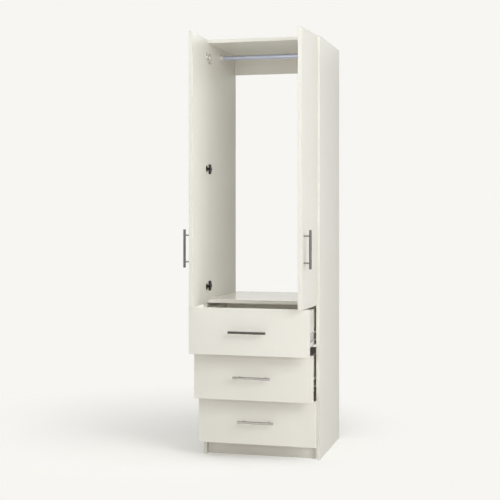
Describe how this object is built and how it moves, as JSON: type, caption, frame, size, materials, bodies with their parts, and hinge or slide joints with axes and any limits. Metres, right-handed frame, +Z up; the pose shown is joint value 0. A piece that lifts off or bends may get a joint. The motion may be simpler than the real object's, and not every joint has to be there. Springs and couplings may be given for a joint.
{
  "type": "wardrobe",
  "caption": "Tall narrow ivory wardrobe: two hinged doors over an open-backed hanging space with a chromed rail, drawers below on ball bearing slides, T bar handles.",
  "frame": {"origin": "on the floor, in the middle of the plinth's underside", "axes": "+Z up, the front faces -Y, +X to the right seen from the front"},
  "size_m": [0.6338, 0.8597, 2.1],
  "materials": {
    "ivory_board": "melamine faced board, fine satin, ivory white",
    "drawer_hardboard": "lacquered hardboard, satin",
    "handle_steel": "brushed along its length",
    "rail_chrome": "satin chrome",
    "hinge_black": "black lacquered steel, satin, the two lower hinges of each door",
    "hinge_nickel": "bright nickel plated, the top hinge of each door",
    "slide_zinc": "zinc plated cold rolled steel"
  },
  "bodies": {
    "carcass": {"side_left": "ivory_board", "side_right": "ivory_board", "top_panel": "ivory_board", "fixed_shelf": "ivory_board", "bottom_panel": "ivory_board", "plinth": "ivory_board", "back_rail": "ivory_board", "hanging_rail": "rail_chrome", "hinge_arm_left_1": "hinge_black", "hinge_arm_left_2": "hinge_black", "hinge_arm_left_3": "hinge_nickel", "hinge_arm_right_1": "hinge_black", "hinge_arm_right_2": "hinge_black", "hinge_arm_right_3": "hinge_nickel", "slide_fixed_left_1": "slide_zinc", "slide_fixed_right_1": "slide_zinc", "slide_fixed_left_2": "slide_zinc", "slide_fixed_right_2": "slide_zinc", "slide_fixed_left_3": "slide_zinc", "slide_fixed_right_3": "slide_zinc"},
    "door_left": {"door_left": "ivory_board", "door_handle_left": "handle_steel", "hinge_cup_left_1": "hinge_black", "hinge_cup_left_2": "hinge_black", "hinge_cup_left_3": "hinge_nickel"},
    "hinge_links_left": {"hinge_link_left_1": "hinge_black", "hinge_link_left_2": "hinge_black", "hinge_link_left_3": "hinge_nickel"},
    "door_right": {"door_right": "ivory_board", "door_handle_right": "handle_steel", "hinge_cup_right_1": "hinge_black", "hinge_cup_right_2": "hinge_black", "hinge_cup_right_3": "hinge_nickel"},
    "hinge_links_right": {"hinge_link_right_1": "hinge_black", "hinge_link_right_2": "hinge_black", "hinge_link_right_3": "hinge_nickel"},
    "drawer_1": {"drawer_front_1": "ivory_board", "drawer_side_left_1": "ivory_board", "slide_moving_left_1": "slide_zinc", "drawer_side_right_1": "ivory_board", "slide_moving_right_1": "slide_zinc", "drawer_bottom_1": "drawer_hardboard", "drawer_back_1": "ivory_board", "drawer_handle_1": "handle_steel"},
    "drawer_2": {"drawer_front_2": "ivory_board", "drawer_side_left_2": "ivory_board", "slide_moving_left_2": "slide_zinc", "drawer_side_right_2": "ivory_board", "slide_moving_right_2": "slide_zinc", "drawer_bottom_2": "drawer_hardboard", "drawer_back_2": "ivory_board", "drawer_handle_2": "handle_steel"},
    "drawer_3": {"drawer_front_3": "ivory_board", "drawer_side_left_3": "ivory_board", "slide_moving_left_3": "slide_zinc", "drawer_side_right_3": "ivory_board", "slide_moving_right_3": "slide_zinc", "drawer_bottom_3": "drawer_hardboard", "drawer_back_3": "ivory_board", "drawer_handle_3": "handle_steel"}
  },
  "joints": [
    {"name": "door_left_swing", "type": "hinge", "parent": "carcass", "child": "door_left", "pos_m": [-0.291, -0.062, 1.4445], "axis": [0, 0, -1], "range_deg": [-87.5, 7.5]},
    {"name": "hinge_links_left_turn", "type": "hinge", "parent": "carcass", "child": "hinge_links_left", "pos_m": [-0.2656, -0.0472, 1.4445], "axis": [0, 0, 1], "range_deg": [-50.38, 4.78]},
    {"name": "door_right_swing", "type": "hinge", "parent": "carcass", "child": "door_right", "pos_m": [0.291, -0.062, 1.4445], "axis": [0, 0, 1], "range_deg": [-86.5, 8.5]},
    {"name": "hinge_links_right_turn", "type": "hinge", "parent": "carcass", "child": "hinge_links_right", "pos_m": [0.2656, -0.0472, 1.4445], "axis": [0, 0, -1], "range_deg": [-49.8, 5.34]},
    {"name": "drawer_1_slide", "type": "slide", "parent": "carcass", "child": "drawer_1", "axis": [0, -1, 0], "range_m": [-0.2292, 0.1408]},
    {"name": "drawer_2_slide", "type": "slide", "parent": "carcass", "child": "drawer_2", "axis": [0, -1, 0], "range_m": [-0.1443, 0.2257]},
    {"name": "drawer_3_slide", "type": "slide", "parent": "carcass", "child": "drawer_3", "axis": [0, -1, 0], "range_m": [-0.0659, 0.3041]}
  ],
  "couplings": [
    {"joint": "hinge_links_left_turn", "follows": "door_left_swing", "ratio": 0.57},
    {"joint": "hinge_links_right_turn", "follows": "door_right_swing", "ratio": 0.57}
  ]
}
